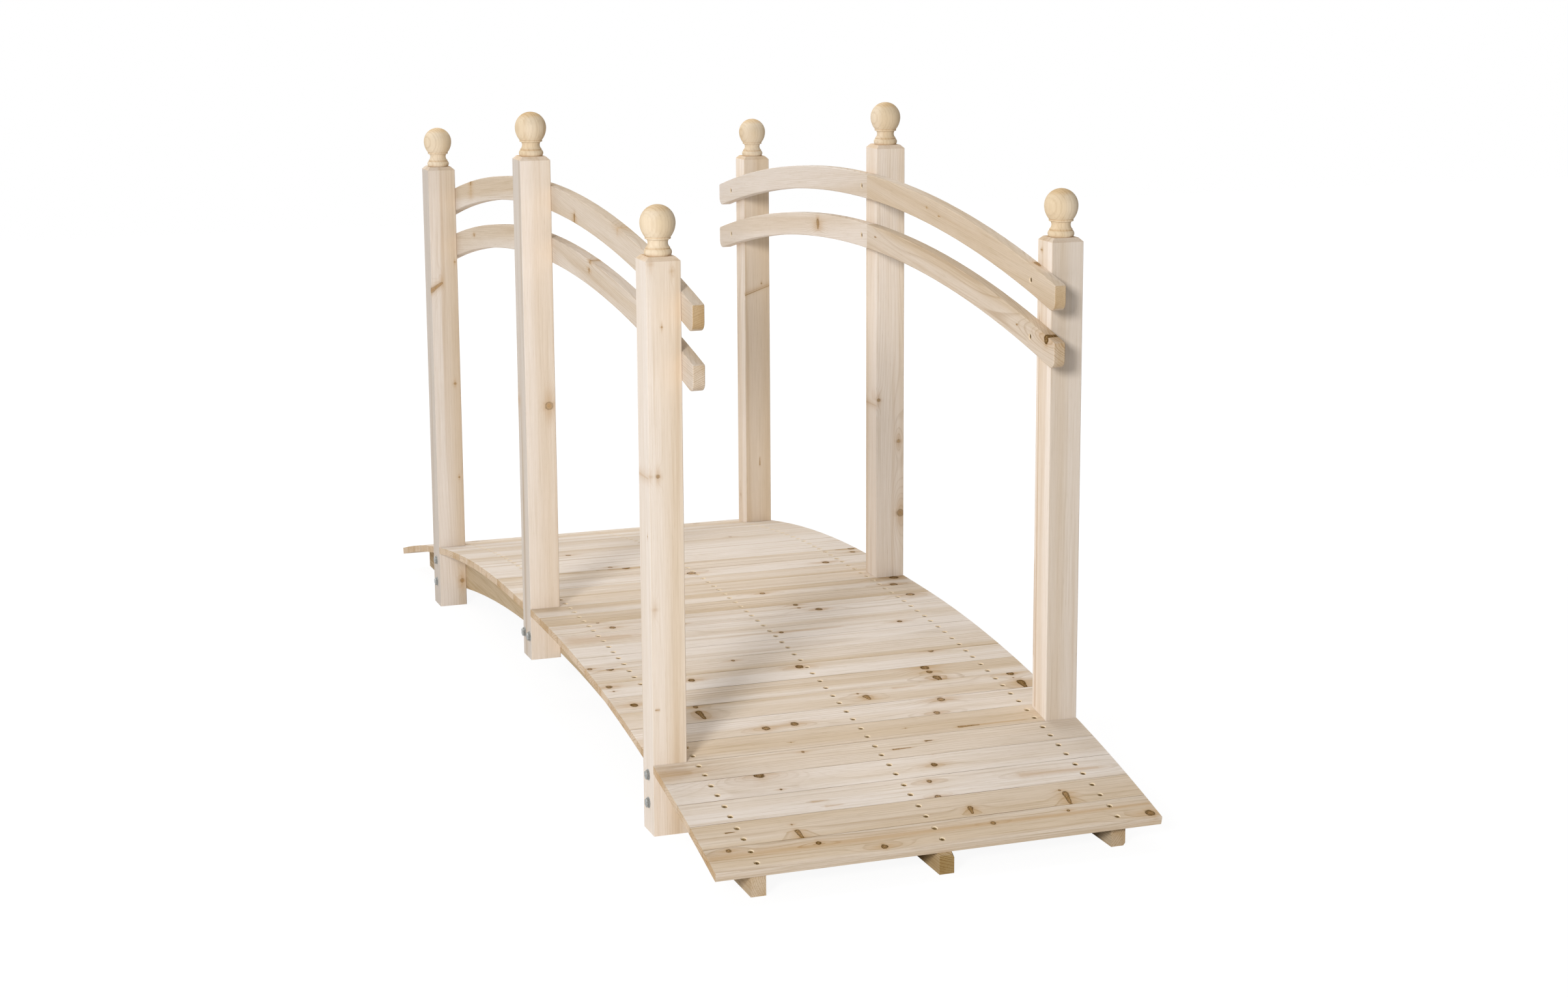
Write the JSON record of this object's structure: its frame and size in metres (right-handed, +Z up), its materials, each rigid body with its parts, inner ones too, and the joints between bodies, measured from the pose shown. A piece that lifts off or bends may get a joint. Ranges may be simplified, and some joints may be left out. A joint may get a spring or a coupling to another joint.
{
  "type": "arched wooden garden footbridge",
  "caption": "Low arched garden footbridge of bare softwood: plank deck on arched stringers, square posts with ball finials and curved double handrails.",
  "frame": {"origin": "on the ground under the middle of the bridge", "axes": "+X along the walkway to the near end, +Y across the walkway to the right, +Z up"},
  "size_m": [2.0602, 0.67, 0.9903],
  "materials": {
    "stringer_wood": "bare sawn softwood",
    "board_wood": "bare planed softwood with knots",
    "post_wood": "bare planed softwood",
    "finial_wood": "turned and sanded softwood",
    "rail_wood": "bare planed softwood"
  },
  "bodies": {
    "root": {"stringer_left": "stringer_wood", "stringer_middle": "stringer_wood", "stringer_right": "stringer_wood", "boards_near_ramp": "board_wood", "board_at_near_posts": "board_wood", "boards_near_span": "board_wood", "board_at_middle_posts": "board_wood", "boards_far_span": "board_wood", "board_at_far_posts": "board_wood", "boards_far_ramp": "board_wood", "post_near_left": "post_wood", "post_near_right": "post_wood", "post_middle_left": "post_wood", "post_middle_right": "post_wood", "post_far_left": "post_wood", "post_far_right": "post_wood", "finial_near_left": "finial_wood", "finial_near_right": "finial_wood", "finial_middle_left": "finial_wood", "finial_middle_right": "finial_wood", "finial_far_left": "finial_wood", "finial_far_right": "finial_wood", "rail_upper_left_near": "rail_wood", "rail_upper_left_far": "rail_wood", "rail_upper_right_near": "rail_wood", "rail_upper_right_far": "rail_wood", "rail_lower_left_near": "rail_wood", "rail_lower_left_far": "rail_wood", "rail_lower_right_near": "rail_wood", "rail_lower_right_far": "rail_wood"}
  },
  "joints": []
}
